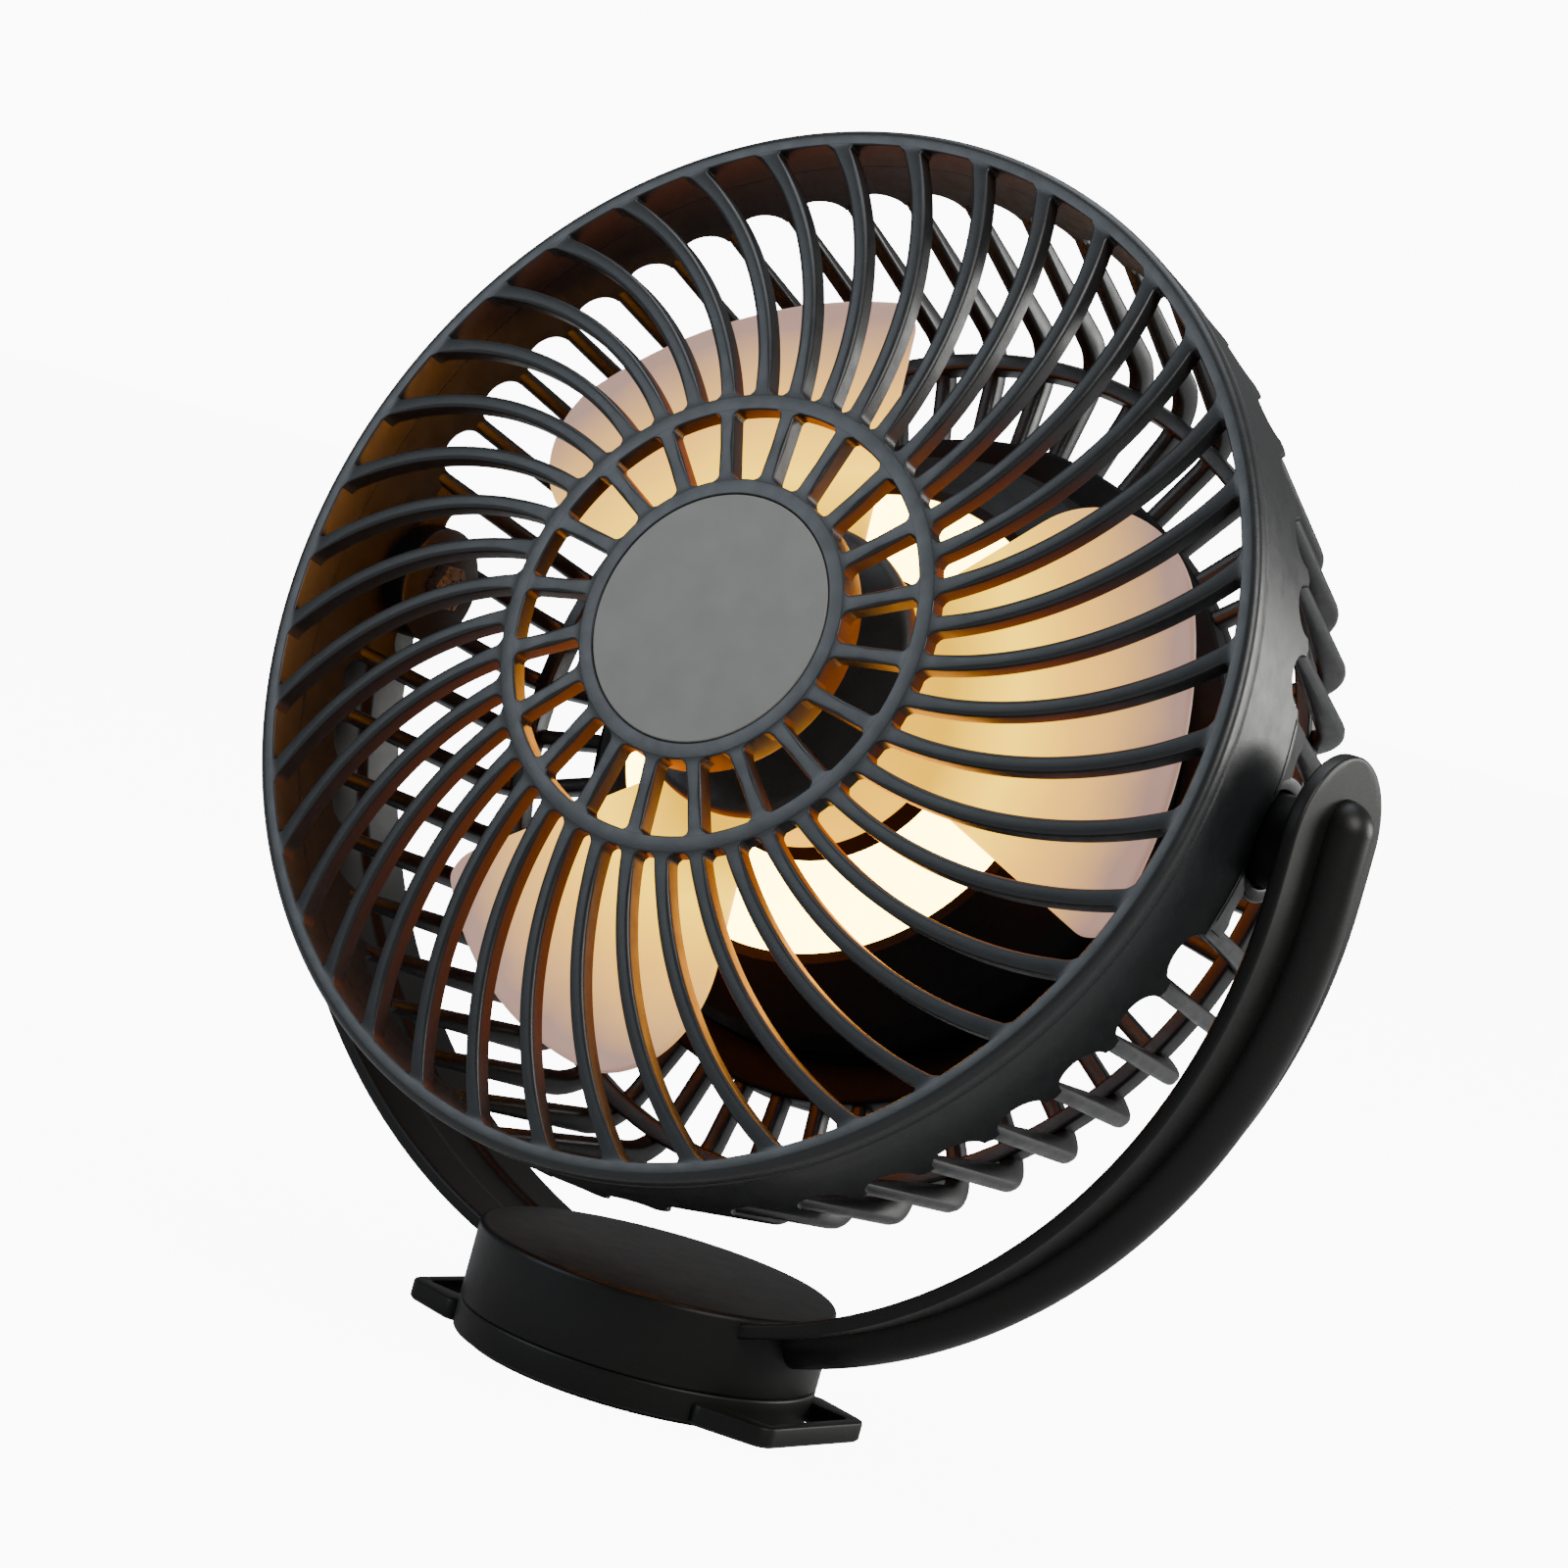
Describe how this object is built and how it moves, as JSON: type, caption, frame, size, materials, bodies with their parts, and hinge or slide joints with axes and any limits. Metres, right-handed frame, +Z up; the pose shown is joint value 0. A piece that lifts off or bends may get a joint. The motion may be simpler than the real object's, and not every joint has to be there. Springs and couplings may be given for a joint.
{
  "type": "golf cart fan",
  "caption": "Round desk fan with a swirling guard, frosted blades and a ring lamp, tilting in a bowed yoke on a swivel base with strap loops.",
  "frame": {"origin": "on the ground at the middle of the base's foot, on the swivel axis", "axes": "+Z up along the swivel axis, +X along the tilt axis to the right as seen in front, the fan faces -Y"},
  "size_m": [0.1912, 0.1077, 0.1944],
  "materials": {
    "charcoal_plastic": "satin moulded",
    "grey_plastic": "fine matt",
    "hub_plastic": "matt",
    "clear_blade": "translucent frosted",
    "milky_lens": "milky diffuser",
    "circuit_board": "solder mask",
    "motor_steel": "plated",
    "bright_steel": "bright",
    "cell_jacket": "jacketed",
    "switch_plastic": "matt",
    "button_plastic": "satin",
    "foot_rubber": "matt"
  },
  "bodies": {
    "base": {"base_plate": "charcoal_plastic", "foot_pad": "foot_rubber"},
    "yoke": {"yoke": "charcoal_plastic", "pivot_bolts": "bright_steel", "swivel_bolt": "bright_steel"},
    "head": {"front_grille": "charcoal_plastic", "centre_cap": "grey_plastic", "rear_cage": "charcoal_plastic", "motor_housing": "charcoal_plastic", "back_cover": "charcoal_plastic", "lamp_lens": "milky_lens", "lamp_board": "circuit_board", "motor_can": "motor_steel", "motor_bearing": "bright_steel", "battery_cells": "cell_jacket", "battery_cradle": "charcoal_plastic", "control_board": "circuit_board", "button_switches": "switch_plastic", "charging_socket": "bright_steel"},
    "rotor": {"motor_shaft": "bright_steel", "impeller": "clear_blade", "hub_cap": "hub_plastic"},
    "fan_button": {"fan_button": "button_plastic"},
    "lamp_button": {"lamp_button": "button_plastic"}
  },
  "joints": [
    {"name": "base_swivel", "type": "hinge", "parent": "base", "child": "yoke", "pos_m": [0, 0, 0], "axis": [0, 0, 1], "continuous": true},
    {"name": "head_tilt", "type": "hinge", "parent": "yoke", "child": "head", "pos_m": [0, 0, 0.1076], "axis": [1, 0, 0], "range_deg": [-75, 105]},
    {"name": "fan_spin", "type": "hinge", "parent": "head", "child": "rotor", "pos_m": [0, 0, 0.1076], "axis": [0, -0.9659, 0.2588], "continuous": true},
    {"name": "fan_button_press", "type": "slide", "parent": "head", "child": "fan_button", "axis": [0, -0.9659, 0.2588], "range_m": [0, 0.0006], "stiffness_N_per_m": 1500},
    {"name": "lamp_button_press", "type": "slide", "parent": "head", "child": "lamp_button", "axis": [0, -0.9659, 0.2588], "range_m": [0, 0.0006], "stiffness_N_per_m": 1500}
  ]
}
